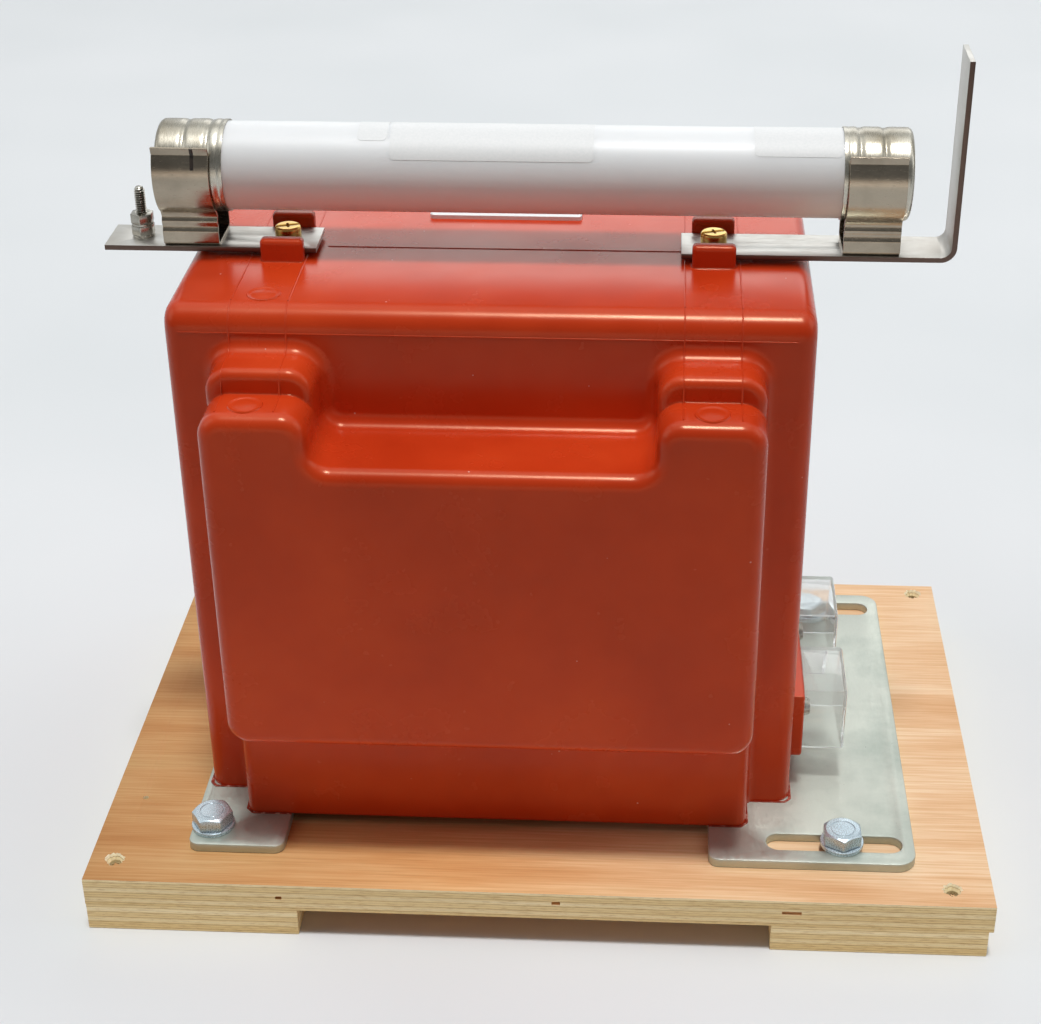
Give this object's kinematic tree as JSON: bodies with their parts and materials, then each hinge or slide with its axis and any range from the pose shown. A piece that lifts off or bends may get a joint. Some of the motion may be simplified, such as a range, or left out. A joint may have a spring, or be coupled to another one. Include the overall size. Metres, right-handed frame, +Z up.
{
  "type": "fused voltage transformer",
  "caption": "Cast-resin voltage transformer with a tube fuse in spring clips on top, clear terminal covers at the side, and a steel base plate bolted to a plywood skid.",
  "frame": {"origin": "centre of the skid's underside, at floor level", "axes": "+X right towards the low-voltage terminals, +Y back, +Z up; the front with the line of the fuse seen lengthwise faces -Y"},
  "size_m": [0.4226, 0.279, 0.3826],
  "materials": {
    "plywood": "sanded plywood, unpainted",
    "zinc_plate": "zinc-plated sheet, satin",
    "cast_resin": "cast epoxy resin, glossy red-brown",
    "zinc_steel": "zinc-plated steel",
    "brass": "turned brass",
    "tinned_copper": "tin-plated copper bar",
    "spring_metal": "plated spring strip",
    "plated_ferrule": "nickel-plated cap",
    "fuse_tube": "white glazed porcelain",
    "clear_cover": "clear moulded plastic"
  },
  "bodies": {
    "root": {"base_plate": "zinc_plate", "bolt_washer_back_left": "zinc_steel", "bolt_washer_back_right": "zinc_steel", "bolt_washer_front_left": "zinc_steel", "bolt_washer_front_right": "zinc_steel", "cast_body": "cast_resin", "clip_rivet_left": "zinc_steel", "clip_rivet_right": "zinc_steel", "fuse_clip_left": "spring_metal", "fuse_clip_right": "spring_metal", "fuse_ferrule_left": "plated_ferrule", "fuse_ferrule_right": "plated_ferrule", "fuse_tube": "fuse_tube", "hex_bolt_back_left": "zinc_steel", "hex_bolt_back_right": "zinc_steel", "hex_bolt_front_left": "zinc_steel", "hex_bolt_front_right": "zinc_steel", "line_stud": "zinc_steel", "low_insert_back": "brass", "low_insert_front": "brass", "low_screw_back": "brass", "low_screw_front": "brass", "skid_board": "plywood", "skid_runner_left": "plywood", "skid_runner_right": "plywood", "strap_left": "tinned_copper", "strap_right": "tinned_copper", "stud_nut_lower": "zinc_steel", "stud_nut_upper": "zinc_steel", "stud_washer_lower": "zinc_steel", "stud_washer_upper": "zinc_steel", "terminal_cover_back": "clear_cover", "terminal_cover_front": "clear_cover", "terminal_insert_left": "brass", "terminal_insert_right": "brass", "terminal_screw_left": "brass", "terminal_screw_right": "brass"}
  },
  "joints": []
}
